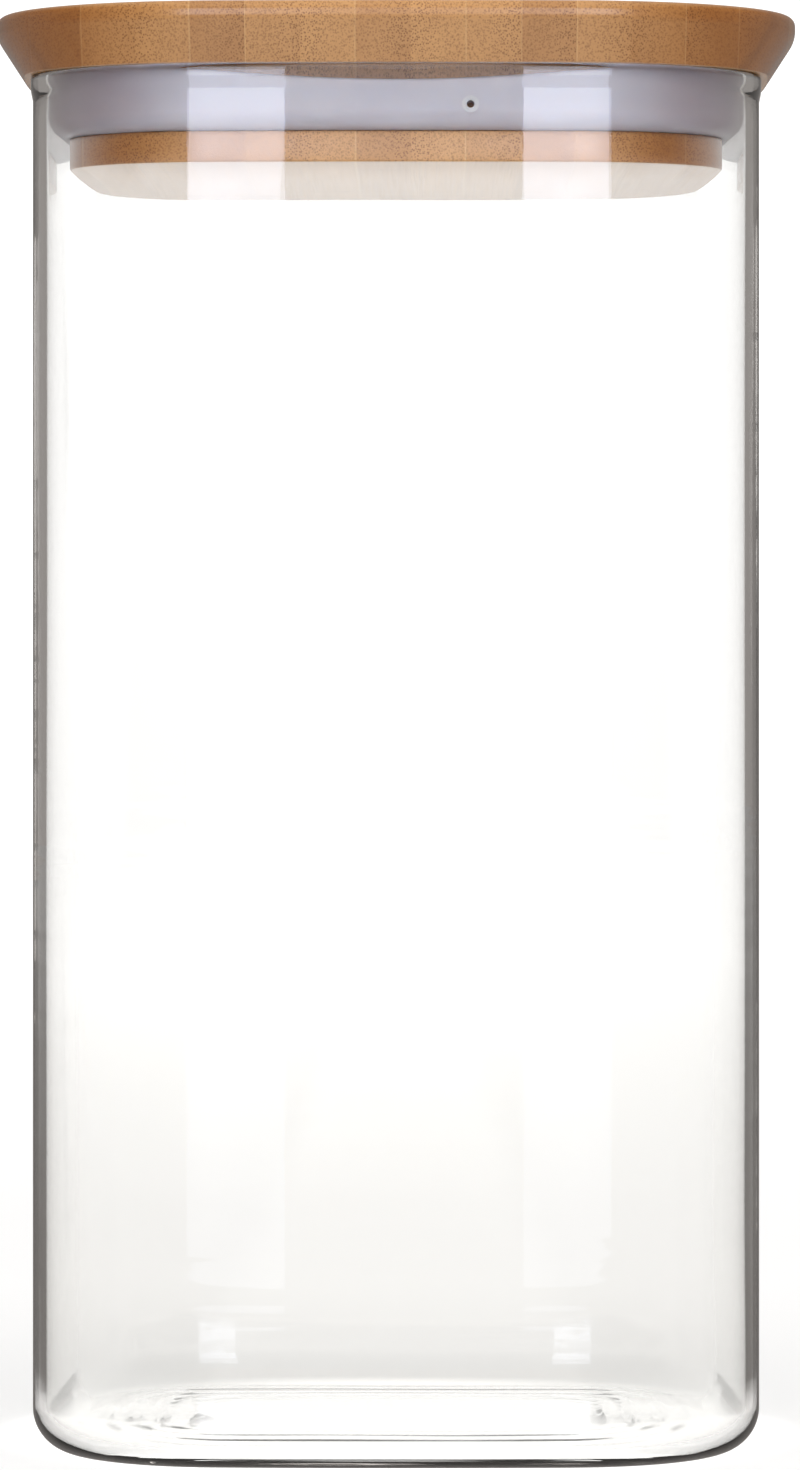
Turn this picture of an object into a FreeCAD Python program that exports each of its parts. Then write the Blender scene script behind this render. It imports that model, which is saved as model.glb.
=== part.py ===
"""Lidded glass canister: a blown square glass jar, a lid milled from one laminated bamboo board,
and the silicone seal ring stretched into the groove of the lid's plug.

Frame: millimetres, +Z up, origin on the table under the middle of the jar. The glue seams of the
bamboo run front to back, along Y. Every outline in plan is the same rounded square, moved out or in.
"""

import FreeCAD, Part
import math
import os

import Sketcher
from FreeCAD import Vector

# Driving dimensions: name, millimetres, what it is.
SIZES = [
    ("glass_width", 100.0, "jar, across the middles of two opposite sides"),
    ("glass_height", 187.0, "jar, table to rim"),
    ("side_curve", 470.0, "radius of the slight outward bow of each side in plan"),
    ("corner_curve", 27.0, "radius of the jar's four upright corners in plan"),
    ("wall", 1.8, "glass wall"),
    ("floor_glass", 2.2, "glass under the contents"),
    ("heel_outside", 6.0, "outer radius where the wall turns into the base"),
    ("heel_inside", 4.2, "inner radius where the wall turns into the floor"),
    ("rim_swell", 0.3, "how far the fire-polished rim swells out of the wall"),
    ("rim_swell_height", 3.0, "height of the swollen rim"),
    ("rim_straight", 1.2, "upright part of the swollen rim"),
    ("rim_round", 0.6, "radius at both edges of the rim"),
    ("foot_inset", 14.0, "outside of the jar to the inner edge of the foot ring"),
    ("kick_depth", 0.4, "how far the base is pushed up inside the foot ring"),
    ("kick_slope", 5.0, "width of the slope up to the pushed-up base"),
    ("lid_overhang", 4.9, "widest part of the lid, beyond the glass"),
    ("lid_foot_overhang", 1.2, "lower edge of the lid, beyond the glass"),
    ("lid_board", 8.0, "lid above the rim"),
    ("lid_bevel", 5.7, "height of the undercut bevel round the lid"),
    ("lid_round", 1.3, "radius of the lid's upper edge"),
    ("lid_waist_round", 1.6, "radius between the lid's upright band and its bevel"),
    ("plug_gap", 3.2, "plug to the inside of the glass"),
    ("plug_depth", 12.9, "plug below the rim"),
    ("plug_break", 0.3, "sanded lower edge of the plug"),
    ("flange_height", 4.2, "plug flange under the seal"),
    ("groove_height", 6.0, "seal groove, above the flange"),
    ("groove_depth", 1.8, "seal groove, into the plug"),
    ("seal_fit", 0.05, "seal to the two level faces of its groove"),
    ("seal_bed", 0.3, "seal to the bottom of the groove, which it closes on when stretched"),
    ("seal_glass_gap", 0.3, "seal to the glass, drawn free; the real lip is pressed against it"),
    ("seal_board_gap", 0.3, "top of the seal at its corners to the underside of the lid"),
    ("seal_root", 4.4, "solid root of the seal, above the flange"),
    ("seal_lip", 0.9, "thickness of the seal's turned-up lip"),
    ("seal_lip_round", 0.3, "radius at the top of the lip"),
    ("seal_sag", 1.3, "how far the lip dips in the middle of each side"),
    ("seal_sag_length", 62.0, "length of that dip"),
    ("vent_bore", 1.0, "pinhole through the front of the seal"),
    ("vent_side", 10.0, "pinhole, to the right of the middle"),
    ("vent_rise", 3.3, "pinhole, above the flange"),
    ("strip_count", 15, "bamboo strips glued side by side in the board"),
    ("strip_shift", 1.6, "how far left the seams sit of an even split of the board"),
]

doc = FreeCAD.newDocument("canister")
sheet = doc.addObject("Spreadsheet::Sheet", "Sizes")
for row, (alias, size, note) in enumerate(SIZES, start=1):
    sheet.set(f"A{row}", note)
    sheet.set(f"B{row}", str(size))
    sheet.setAlias(f"B{row}", alias)
doc.recompute()

# Outlines, as moves out (+) or in (-) from the outside of the jar.
OUTSIDE = "0"
INSIDE = "-Sizes.wall"
PLUG = "-Sizes.wall - Sizes.plug_gap"
GROOVE = "-Sizes.wall - Sizes.plug_gap - Sizes.groove_depth"
SEAL_OUT = "-Sizes.wall - Sizes.seal_glass_gap"

# Heights above the table.
RIM = "Sizes.glass_height"
PLUG_FOOT = "Sizes.glass_height - Sizes.plug_depth"
FLANGE_TOP = "Sizes.glass_height - Sizes.plug_depth + Sizes.flange_height"
SEAL_FOOT = f"{FLANGE_TOP} + Sizes.seal_fit"
SEAL_TOP = "Sizes.glass_height - Sizes.seal_board_gap"

NEAR = 1e-4  # millimetres, for finding an edge by its height


# ---------------------------------------------------------------- sketches


def value(expression):
    """The number that an expression on the sheet comes to."""
    return float(sheet.evalExpression(expression))


def new_sketch(body, name, role, axis, distance):
    """A sketch on one of the body's own planes, moved along an axis of that plane."""
    sketch = body.newObject("Sketcher::SketchObject", name)
    plane = next(f for f in body.Origin.OriginFeatures if f.Role == role)
    sketch.AttachmentSupport = [(plane, "")]
    sketch.MapMode = "FlatFace"
    sketch.setExpression(f"AttachmentOffset.Base.{axis}", distance)
    return sketch


def dimension(sketch, name, expression, *definition):
    """Adds a dimension to a sketch, names it and ties it to the sheet."""
    index = sketch.addConstraint(Sketcher.Constraint(*definition, value(expression)))
    sketch.renameConstraint(index, name)
    sketch.setExpression(f"Constraints.{name}", expression)


def draw_arc(sketch, centre, radius, begin, end):
    circle = Part.Circle(centre, Vector(0, 0, 1), radius)
    return sketch.addGeometry(Part.ArcOfCircle(circle, begin, end))


def draw_rounded_square(sketch, offset, prefix="outline"):
    """The rounded square, moved out by an offset: a bowed arc for each side and one for each
    corner, tangent all round. The right side is two arcs that meet on the X axis."""
    side = value(f"Sizes.side_curve + ({offset})")
    corner = value(f"Sizes.corner_curve + ({offset})")
    shift = value("Sizes.side_curve - Sizes.glass_width / 2")
    # A corner's centre lies at (c, c), where the corner arc touches both of its sides.
    c = (math.sqrt(2 * (side - corner) ** 2 - shift**2) - shift) / 2
    sweep = math.atan2(c, c + shift)
    sides = []
    corners = []
    ring = []
    for quarter in range(4):
        turn = quarter * math.pi / 2
        centre = Vector(-shift * math.cos(turn), -shift * math.sin(turn), 0)
        begin = turn if quarter == 0 else turn - sweep
        sides.append(draw_arc(sketch, centre, side, begin, turn + sweep))
        ring.append(sides[-1])
        diagonal = turn + math.pi / 4
        centre = Vector(math.cos(diagonal), math.sin(diagonal), 0) * (c * math.sqrt(2))
        corners.append(draw_arc(sketch, centre, corner, turn + sweep, turn + math.pi / 2 - sweep))
        ring.append(corners[-1])
    sides.append(draw_arc(sketch, Vector(-shift, 0, 0), side, -sweep, 0))
    ring.append(sides[-1])

    for one, other in zip(ring, ring[1:]):
        sketch.addConstraint(Sketcher.Constraint("Tangent", one, 2, other, 1))
    sketch.addConstraint(Sketcher.Constraint("Coincident", ring[-1], 2, ring[0], 1))
    sketch.addConstraint(Sketcher.Constraint("PointOnObject", ring[0], 1, -1))
    sketch.addConstraint(Sketcher.Constraint("Coincident", sides[0], 3, sides[-1], 3))
    for index, arc in enumerate(sides[:-1]):
        axis = -1 if index % 2 == 0 else -2
        sketch.addConstraint(Sketcher.Constraint("PointOnObject", arc, 3, axis))
    for arc in sides[1:-1]:
        sketch.addConstraint(Sketcher.Constraint("Equal", sides[0], arc))
    for arc in corners[1:]:
        sketch.addConstraint(Sketcher.Constraint("Equal", corners[0], arc))
    dimension(sketch, f"{prefix}_side", f"Sizes.side_curve + ({offset})", "Radius", sides[0])
    dimension(sketch, f"{prefix}_corner", f"Sizes.corner_curve + ({offset})", "Radius", corners[0])
    bow_centre = "Sizes.side_curve - Sizes.glass_width / 2"
    dimension(sketch, f"{prefix}_right", bow_centre, "DistanceX", sides[0], 3, -1, 1)
    dimension(sketch, f"{prefix}_back", bow_centre, "DistanceY", sides[1], 3, -1, 1)
    dimension(sketch, f"{prefix}_left", bow_centre, "DistanceX", -1, 1, sides[2], 3)
    dimension(sketch, f"{prefix}_front", bow_centre, "DistanceY", -1, 1, sides[3], 3)


# ---------------------------------------------------------------- features


def outline(body, name, height, offset, *more_offsets):
    """A level sketch of the rounded square; each further offset adds a second one inside."""
    sketch = new_sketch(body, name, "XY_Plane", "z", height)
    draw_rounded_square(sketch, offset)
    for extra in more_offsets:
        draw_rounded_square(sketch, extra, "inner")
    return sketch


def pad(body, name, sketch, length):
    feature = body.newObject("PartDesign::Pad", name)
    feature.Profile = sketch
    feature.setExpression("Length", length)
    return feature


def pocket(body, name, sketch, length):
    """Cuts down from a level sketch."""
    feature = body.newObject("PartDesign::Pocket", name)
    feature.Profile = sketch
    feature.setExpression("Length", length)
    return feature


def loft(body, kind, name, lower, upper):
    """A straight-sided AdditiveLoft or SubtractiveLoft between two outlines."""
    feature = body.newObject(f"PartDesign::{kind}", name)
    feature.Profile = lower
    feature.Sections = [upper]
    feature.Ruled = True
    return feature


def edges_at(feature, height, offset):
    """Names of a feature's edges at one height whose points lie on one outline."""
    doc.recompute()
    z = value(height)
    reach = value(f"Sizes.glass_width / 2 + ({offset})")
    names = []
    for number, edge in enumerate(feature.Shape.Edges, start=1):
        box = edge.BoundBox
        level = abs(box.ZMin - z) < NEAR and abs(box.ZMax - z) < NEAR
        if level and on_outline(edge, offset):
            names.append(f"Edge{number}")
    if not names:
        raise ValueError(f"no edges at height {z:.3f} and reach {reach:.3f} on {feature.Name}")
    return names


def on_outline(edge, offset):
    """True if an arc is one of those that draw_rounded_square makes at this offset."""
    radii = (
        value(f"Sizes.side_curve + ({offset})"),
        value(f"Sizes.corner_curve + ({offset})"),
    )
    curve = edge.Curve
    return hasattr(curve, "Radius") and any(abs(curve.Radius - r) < NEAR for r in radii)


def fillet(body, name, base, height, offset, radius):
    feature = body.newObject("PartDesign::Fillet", name)
    feature.Base = (base, edges_at(base, height, offset))
    feature.setExpression("Radius", radius)
    return feature


def new_body(name):
    body = doc.addObject("PartDesign::Body", name)
    body.Label = name
    return body


# ---------------------------------------------------------------- glass jar

jar = new_body("glass_jar")

# Outside: upright wall, then the rim, swollen a little by the flame that polished it.
swell_foot = "Sizes.glass_height - Sizes.rim_swell_height"
swell_top = "Sizes.glass_height - Sizes.rim_straight"
pad(jar, "JarWall", outline(jar, "JarFootprint", "0", OUTSIDE), swell_foot)
swell_low = outline(jar, "RimSwellFoot", swell_foot, OUTSIDE)
swell_high = outline(jar, "RimSwellTop", swell_top, "Sizes.rim_swell")
loft(jar, "AdditiveLoft", "RimSwell", swell_low, swell_high)
rim = outline(jar, "RimOutline", swell_top, "Sizes.rim_swell")
block = pad(jar, "Rim", rim, "Sizes.rim_straight")
heel = fillet(jar, "HeelOutside", block, "0", OUTSIDE, "Sizes.heel_outside")

# Inside, down to the floor.
mouth = outline(jar, "MouthOutline", RIM, INSIDE)
inside = pocket(jar, "Inside", mouth, "Sizes.glass_height - Sizes.floor_glass")
floor = fillet(jar, "HeelInside", inside, "Sizes.floor_glass", INSIDE, "Sizes.heel_inside")

# The base is pushed up inside a foot ring, so the jar stands on the ring.
kick_low = outline(jar, "KickFoot", "0", "-Sizes.foot_inset")
kick_high = outline(jar, "KickTop", "Sizes.kick_depth", "-Sizes.foot_inset - Sizes.kick_slope")
kick = loft(jar, "SubtractiveLoft", "Kick", kick_low, kick_high)

# Fire-polished edges of the rim.
rim_outer = fillet(jar, "RimOuterEdge", kick, RIM, "Sizes.rim_swell", "Sizes.rim_round")
rim_inner = fillet(jar, "RimInnerEdge", rim_outer, RIM, INSIDE, "Sizes.rim_round")
jar.Tip = rim_inner

# ---------------------------------------------------------------- bamboo lid, as one block

lid_form = new_body("lid_form")

# Plug: flange at the foot, groove for the seal, full width again up to the board.
neck = outline(lid_form, "NeckOutline", FLANGE_TOP, GROOVE)
pad(lid_form, "Neck", neck, "Sizes.groove_height")
flange = outline(lid_form, "FlangeOutline", PLUG_FOOT, PLUG)
pad(lid_form, "Flange", flange, "Sizes.flange_height")
shoulder = outline(lid_form, "ShoulderOutline", f"{FLANGE_TOP} + Sizes.groove_height", PLUG)
shoulder_height = "Sizes.plug_depth - Sizes.flange_height - Sizes.groove_height"
pad(lid_form, "Shoulder", shoulder, shoulder_height)

# Board: undercut bevel flaring out to an upright band.
waist = "Sizes.glass_height + Sizes.lid_bevel"
bevel_low = outline(lid_form, "BoardFoot", RIM, "Sizes.lid_foot_overhang")
bevel_high = outline(lid_form, "BoardWaist", waist, "Sizes.lid_overhang")
loft(lid_form, "AdditiveLoft", "Bevel", bevel_low, bevel_high)
band = outline(lid_form, "BandOutline", waist, "Sizes.lid_overhang")
board = pad(lid_form, "Band", band, "Sizes.lid_board - Sizes.lid_bevel")

# Sanded edges.
lid_top = "Sizes.glass_height + Sizes.lid_board"
top_edge = fillet(lid_form, "TopEdge", board, lid_top, "Sizes.lid_overhang", "Sizes.lid_round")
waist_edge = fillet(
    lid_form, "WaistEdge", top_edge, waist, "Sizes.lid_overhang", "Sizes.lid_waist_round"
)
plug_edge = fillet(lid_form, "PlugEdge", waist_edge, PLUG_FOOT, PLUG, "Sizes.plug_break")
lid_form.Tip = plug_edge

# ---------------------------------------------------------------- lid strips, cut from that block

strips = []
strip_count = int(value("Sizes.strip_count"))
lid_width = "(Sizes.glass_width + 2 * Sizes.lid_overhang)"
seam_shift = "Sizes.strip_shift"
for number in range(1, strip_count + 1):
    # The board was cut from a wider panel, so its first and last strips are not full width.
    left_edge = f"{lid_width} * ({number - 1} / Sizes.strip_count - 0.5)"
    width = f"{lid_width} / Sizes.strip_count"
    if number > 1:
        left_edge += f" - {seam_shift}"
    if number == 1:
        width += f" - {seam_shift}"
    elif number == strip_count:
        width += f" + {seam_shift}"
    slab = doc.addObject("Part::Box", f"StripSlab{number:02d}")
    slab.setExpression("Length", width)
    slab.setExpression("Width", lid_width)
    slab.setExpression("Height", "Sizes.plug_depth + Sizes.lid_board")
    slab.setExpression("Placement.Base.x", left_edge)
    slab.setExpression("Placement.Base.y", f"-{lid_width} / 2")
    slab.setExpression("Placement.Base.z", PLUG_FOOT)
    strip = doc.addObject("Part::MultiCommon", f"lid_strip_{number:02d}")
    strip.Label = strip.Name
    strip.Shapes = [lid_form, slab]
    strips.append(strip)

# ---------------------------------------------------------------- seal ring

seal = new_body("seal_ring")

# A band as tall as the space under the board, rounded in towards the flange at its foot.
seal_foot = outline(seal, "SealOutline", SEAL_FOOT, SEAL_OUT)
seal_block = pad(seal, "SealBlock", seal_foot, f"{SEAL_TOP} - ({SEAL_FOOT})")
bulge_round = "Sizes.plug_gap - Sizes.seal_glass_gap - Sizes.seal_fit"
bulge = fillet(seal, "SealBulge", seal_block, SEAL_FOOT, SEAL_OUT, bulge_round)

# Opened for the groove, then cleared above the tongue, then split off the plug by a channel.
bore = outline(seal, "SealBoreOutline", SEAL_TOP, f"{GROOVE} + Sizes.seal_bed")
pocket(seal, "SealBore", bore, f"{SEAL_TOP} - ({PLUG_FOOT})")
tongue_top = f"({FLANGE_TOP} + Sizes.groove_height - Sizes.seal_fit)"
lip_in = f"{SEAL_OUT} - Sizes.seal_lip"
clearing = outline(seal, "ClearingOutline", SEAL_TOP, lip_in)
pocket(seal, "Clearing", clearing, f"{SEAL_TOP} - {tongue_top}")
channel_outline = outline(seal, "ChannelOutline", tongue_top, lip_in, PLUG)
channel_depth = f"{tongue_top} - ({FLANGE_TOP} + Sizes.seal_root)"
channel = pocket(seal, "Channel", channel_outline, channel_depth)
lip_outer = fillet(seal, "LipOuterEdge", channel, SEAL_TOP, SEAL_OUT, "Sizes.seal_lip_round")
lip_inner = fillet(seal, "LipInnerEdge", lip_outer, SEAL_TOP, lip_in, "Sizes.seal_lip_round")


def sag_cut(name, role):
    """Cuts a shallow dip through the lip in the middle of two opposite sides: the area between a
    wide arc and the chord that closes it level with the lip's top."""
    sketch = new_sketch(seal, f"{name}Profile", role, "y", SEAL_TOP)
    half = value("Sizes.seal_sag_length / 2")
    sag = value("Sizes.seal_sag")
    radius = (half**2 + sag**2) / (2 * sag)
    reach = math.asin(half / radius)
    centre = Vector(0, radius - sag, 0)
    arc = draw_arc(sketch, centre, radius, -math.pi / 2 - reach, -math.pi / 2 + reach)
    chord = sketch.addGeometry(Part.LineSegment(Vector(half, 0, 0), Vector(-half, 0, 0)))
    sketch.addConstraint(Sketcher.Constraint("Coincident", arc, 2, chord, 1))
    sketch.addConstraint(Sketcher.Constraint("Coincident", chord, 2, arc, 1))
    sketch.addConstraint(Sketcher.Constraint("PointOnObject", chord, 1, -1))
    sketch.addConstraint(Sketcher.Constraint("Symmetric", chord, 1, chord, 2, -1, 1))
    dimension(sketch, "length", "Sizes.seal_sag_length", "DistanceX", chord, 2, chord, 1)
    arc_radius = "((Sizes.seal_sag_length / 2)^2 + Sizes.seal_sag^2) / (2 * Sizes.seal_sag)"
    dimension(sketch, "dip", arc_radius, "Radius", arc)
    cut = seal.newObject("PartDesign::Pocket", name)
    cut.Profile = sketch
    cut.Type = "ThroughAll"
    cut.Midplane = True
    return cut


sag_cut("SagFrontBack", "XZ_Plane")
sag_cut("SagLeftRight", "YZ_Plane")

# The pinhole, bored in from the front to the groove.
vent_height = f"{FLANGE_TOP} + Sizes.vent_rise"
vent_sketch = new_sketch(seal, "VentProfile", "XZ_Plane", "y", vent_height)
vent_circle = vent_sketch.addGeometry(
    Part.Circle(Vector(value("Sizes.vent_side"), 0, 0), Vector(0, 0, 1), value("Sizes.vent_bore / 2"))
)
vent_sketch.addConstraint(Sketcher.Constraint("PointOnObject", vent_circle, 3, -1))
dimension(vent_sketch, "side", "Sizes.vent_side", "DistanceX", -1, 1, vent_circle, 3)
dimension(vent_sketch, "bore", "Sizes.vent_bore / 2", "Radius", vent_circle)
vent = seal.newObject("PartDesign::Pocket", "Vent")
vent.Profile = vent_sketch
vent.setExpression("Length", "Sizes.glass_width / 2")
vent.Reversed = True
seal.Tip = vent

# ---------------------------------------------------------------- checks and export

doc.recompute()
for obj in doc.Objects:
    if {"Invalid", "Error"} & set(obj.State):
        raise ValueError(f"{obj.Name} did not recompute: {obj.State}")

parts = [jar, seal] + strips
for part in parts:
    if part.Shape.isNull() or not part.Shape.isValid() or len(part.Shape.Solids) != 1:
        raise ValueError(f"{part.Label} is not one valid solid")

strip_volume = sum(strip.Shape.Volume for strip in strips)
if abs(strip_volume - lid_form.Shape.Volume) > 1.0:
    raise ValueError("the strips do not add up to the lid")

# The pinhole must have cut the front of the ring only.
front_half = Part.makeBox(400, 200, 400, Vector(-200, -200, 0))
back_half = Part.makeBox(400, 200, 400, Vector(-200, 0, 0))
front_volume = seal.Shape.common(front_half).Volume
back_volume = seal.Shape.common(back_half).Volume
if not 0 < back_volume - front_volume < 20:
    raise ValueError("the pinhole is not in the front of the seal")

os.makedirs("parts", exist_ok=True)
for part in parts:
    part.Shape.exportStep(f"parts/{part.Label}.step")
    print(f"{part.Label:14s} {part.Shape.Volume:12.1f} mm3  {part.Shape.BoundBox}")
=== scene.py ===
import math
import random

import bmesh
import bpy
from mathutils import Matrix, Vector, noise


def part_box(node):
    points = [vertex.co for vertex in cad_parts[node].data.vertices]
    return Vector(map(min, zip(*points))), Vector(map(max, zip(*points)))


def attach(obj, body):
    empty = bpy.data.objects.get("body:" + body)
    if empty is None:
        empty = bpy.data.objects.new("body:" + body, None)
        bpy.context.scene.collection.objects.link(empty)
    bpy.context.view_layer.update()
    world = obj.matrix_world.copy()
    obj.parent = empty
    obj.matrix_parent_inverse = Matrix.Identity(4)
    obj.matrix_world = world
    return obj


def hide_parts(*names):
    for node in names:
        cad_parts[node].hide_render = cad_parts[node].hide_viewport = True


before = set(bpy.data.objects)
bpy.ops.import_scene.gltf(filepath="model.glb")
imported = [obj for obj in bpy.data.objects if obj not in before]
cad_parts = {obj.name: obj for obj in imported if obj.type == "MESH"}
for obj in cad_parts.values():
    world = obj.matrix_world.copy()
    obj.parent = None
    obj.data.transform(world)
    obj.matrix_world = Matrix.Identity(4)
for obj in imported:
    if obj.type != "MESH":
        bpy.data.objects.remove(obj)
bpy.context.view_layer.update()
MM = 0.001


# ------------------------------------------------------------------ glass jar
# The jar is blown borosilicate glass, square with bowed sides and broad corners. Its rim is
# swollen and fire-polished, and the base is pushed up inside a foot ring. It stands on the table.

jar_low, jar_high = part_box("glass_jar")
jar_height = jar_high[2] - jar_low[2]
rim_swell = 0.3 * MM
jar_half_width = (jar_high[0] - jar_low[0]) / 2 - rim_swell
side_curve = 470 * MM
corner_curve = 27 * MM
glass_wall = 1.8 * MM
floor_glass = 2.2 * MM
heel_outside = 6.0 * MM
heel_inside = 4.2 * MM
foot_ring_inset = 13.5 * MM
kick_depth = 0.15 * MM
kick_run = 10.0 * MM


def plan_outline(out, side_steps=22, corner_steps=30):
    """Points of the rounded square that jar, seal and lid share, moved out by a distance,
    anticlockwise from the middle of the right side."""
    bow = side_curve - jar_half_width
    c = (math.sqrt(2 * (side_curve - corner_curve) ** 2 - bow**2) - bow) / 2
    sweep = math.atan2(c, c + bow)
    side_radius = side_curve + out
    corner_radius = corner_curve + out
    points = []
    for quarter in range(4):
        turn = quarter * math.pi / 2
        bow_centre = (-bow * math.cos(turn), -bow * math.sin(turn))
        for step in range(side_steps // 2):
            angle = turn + sweep * step / (side_steps // 2)
            points.append(
                (
                    bow_centre[0] + side_radius * math.cos(angle),
                    bow_centre[1] + side_radius * math.sin(angle),
                )
            )
        diagonal = turn + math.pi / 4
        corner_centre = (
            c * math.sqrt(2) * math.cos(diagonal),
            c * math.sqrt(2) * math.sin(diagonal),
        )
        for step in range(corner_steps):
            angle = turn + sweep + (math.pi / 2 - 2 * sweep) * step / corner_steps
            points.append(
                (
                    corner_centre[0] + corner_radius * math.cos(angle),
                    corner_centre[1] + corner_radius * math.sin(angle),
                )
            )
        turn += math.pi / 2
        bow_centre = (-bow * math.cos(turn), -bow * math.sin(turn))
        for step in range(side_steps // 2):
            angle = turn - sweep + sweep * step / (side_steps // 2)
            points.append(
                (
                    bow_centre[0] + side_radius * math.cos(angle),
                    bow_centre[1] + side_radius * math.sin(angle),
                )
            )
    return points


def bend(profile, centre, radius, begin, end, steps):
    """Adds a rounded corner to a profile of (move out, height) points; angles in degrees."""
    for step in range(steps + 1):
        angle = math.radians(begin + (end - begin) * step / steps)
        profile.append(
            (centre[0] + radius * math.cos(angle), centre[1] + radius * math.sin(angle))
        )


def level_run(profile, out, low, high, spacing):
    """Adds points up or down a straight wall, about one spacing apart, without its two ends."""
    count = max(1, round(abs(high - low) / spacing))
    for step in range(1, count):
        profile.append((out, low + (high - low) * step / count))


jar_profile = []
# Underneath: the pushed-up middle, the slope down from it, the foot ring and the heel.
kick_steps = 12
for step in range(kick_steps + 1):
    along = step / kick_steps
    fall = along * along * (3 - 2 * along)
    jar_profile.append((kick_run * (along - 1) - foot_ring_inset, kick_depth * (1 - fall)))
bend(jar_profile, (-heel_outside, heel_outside), heel_outside, 270, 360, 22)
# Outside wall, up to the swollen rim and over it.
level_run(jar_profile, 0, heel_outside, jar_height - 3.6 * MM, 2.5 * MM)
for climb, swell in ((-3.4, 0.0), (-3.0, 0.04), (-2.6, 0.13), (-2.2, 0.22), (-1.8, 0.28)):
    jar_profile.append((swell * MM, jar_height + climb * MM))
jar_profile.append((rim_swell, jar_height - 1.2 * MM))
bend(jar_profile, (rim_swell - 0.6 * MM, jar_height - 0.6 * MM), 0.6 * MM, 0, 90, 8)
bend(jar_profile, (-glass_wall + 0.6 * MM, jar_height - 0.6 * MM), 0.6 * MM, 90, 180, 8)
# Inside wall, down to the floor.
level_run(jar_profile, -glass_wall, jar_height - 0.6 * MM, floor_glass + heel_inside, 2.5 * MM)
bend(
    jar_profile,
    (-glass_wall - heel_inside, floor_glass + heel_inside),
    heel_inside,
    360,
    270,
    18,
)
inside_floor_at = len(jar_profile) - 1
for ring in range(1, 33):
    jar_profile.append((-glass_wall - heel_inside - ring * 0.5 * MM, floor_glass))

jar_mesh = bmesh.new()
rings = []
for place, (out, height) in enumerate(jar_profile):
    ring = []
    for x, y in plan_outline(out):
        if place > inside_floor_at:
            # Chill rings: faint ripples that follow the edge of the moulded floor.
            along = (-out - glass_wall - heel_inside) / (4.4 * MM)
            ripple = 0.045 * MM * math.sin(2 * math.pi * along) * min(1, along)
            wander = noise.noise(Vector((x, y, 0)) * 55) * 0.10 * MM * min(1, along)
            height_here = height + ripple + wander
        else:
            height_here = height
        # Blown glass is never quite even: the inside wanders slowly in and out.
        unevenness = 0.0
        if 12 * MM < height < jar_height - 6 * MM and out < -glass_wall / 2:
            fade = min(1, (height - 12 * MM) / (20 * MM), (jar_height - 6 * MM - height) / (20 * MM))
            unevenness = fade * noise.noise(Vector((x * 30, y * 30, height * 16))) * 0.14 * MM
        scale = 1 + unevenness / math.hypot(x, y)
        ring.append(jar_mesh.verts.new((x * scale, y * scale, height_here)))
    rings.append(ring)
for lower, upper in zip(rings, rings[1:]):
    for here in range(len(lower)):
        following = (here + 1) % len(lower)
        jar_mesh.faces.new((lower[here], lower[following], upper[following], upper[here]))


def close_middle(mesh, ring, height, shrinks, upwards):
    """Closes a ring with smaller and smaller rings and a last fan of triangles."""
    before = ring
    for shrink in shrinks:
        after = [mesh.verts.new((v.co.x * shrink, v.co.y * shrink, height)) for v in ring]
        for here in range(len(ring)):
            following = (here + 1) % len(ring)
            face = [before[here], before[following], after[following], after[here]]
            mesh.faces.new(face if upwards else face[::-1])
        before = after
    centre = mesh.verts.new((0, 0, height))
    for here in range(len(ring)):
        face = [before[here], before[(here + 1) % len(ring)], centre]
        mesh.faces.new(face if upwards else face[::-1])


close_middle(jar_mesh, rings[0], kick_depth, (0.8, 0.6, 0.4, 0.2), upwards=False)
close_middle(jar_mesh, rings[-1], floor_glass, (0.85, 0.7, 0.5, 0.3, 0.12), upwards=True)
bmesh.ops.recalc_face_normals(jar_mesh, faces=jar_mesh.faces)
for face in jar_mesh.faces:
    face.smooth = True
jar_data = bpy.data.meshes.new("blown_jar")
jar_mesh.to_mesh(jar_data)
jar_mesh.free()
blown_jar = bpy.data.objects.new("blown_jar", jar_data)
bpy.context.collection.objects.link(blown_jar)

clear_glass = bpy.data.materials.new("clear_borosilicate")
clear_glass.use_nodes = True
nodes = clear_glass.node_tree.nodes
links = clear_glass.node_tree.links
glass = nodes["Principled BSDF"]
glass.inputs["Transmission Weight"].default_value = 1.0
glass.inputs["IOR"].default_value = 1.473
where = nodes.new("ShaderNodeTexCoord")
# A faint grey tint that deepens towards the foot, more than clear glass this thin would show.
split = nodes.new("ShaderNodeSeparateXYZ")
links.new(where.outputs["Object"], split.inputs[0])
above_foot = nodes.new("ShaderNodeMapRange")
above_foot.inputs["From Min"].default_value = 0.0
above_foot.inputs["From Max"].default_value = 0.12
links.new(split.outputs["Z"], above_foot.inputs["Value"])
tint = nodes.new("ShaderNodeMix")
tint.data_type = "RGBA"
tint.inputs["A"].default_value = (0.938, 0.934, 0.922, 1)
tint.inputs["B"].default_value = (0.990, 0.988, 0.981, 1)
links.new(above_foot.outputs["Result"], tint.inputs["Factor"])
links.new(tint.outputs["Result"], glass.inputs["Base Color"])
# Wipe marks: a very slight haze in broad upright streaks.
streaks = nodes.new("ShaderNodeMapping")
streaks.inputs["Scale"].default_value = (60, 60, 9)
links.new(where.outputs["Object"], streaks.inputs["Vector"])
haze = nodes.new("ShaderNodeTexNoise")
haze.inputs["Scale"].default_value = 1.0
haze.inputs["Detail"].default_value = 3.0
links.new(streaks.outputs["Vector"], haze.inputs["Vector"])
polish = nodes.new("ShaderNodeMapRange")
polish.inputs["From Min"].default_value = 0.45
polish.inputs["From Max"].default_value = 0.8
polish.inputs["To Min"].default_value = 0.0
polish.inputs["To Max"].default_value = 0.035
links.new(haze.outputs["Fac"], polish.inputs["Value"])
links.new(polish.outputs["Result"], glass.inputs["Roughness"])
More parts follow.
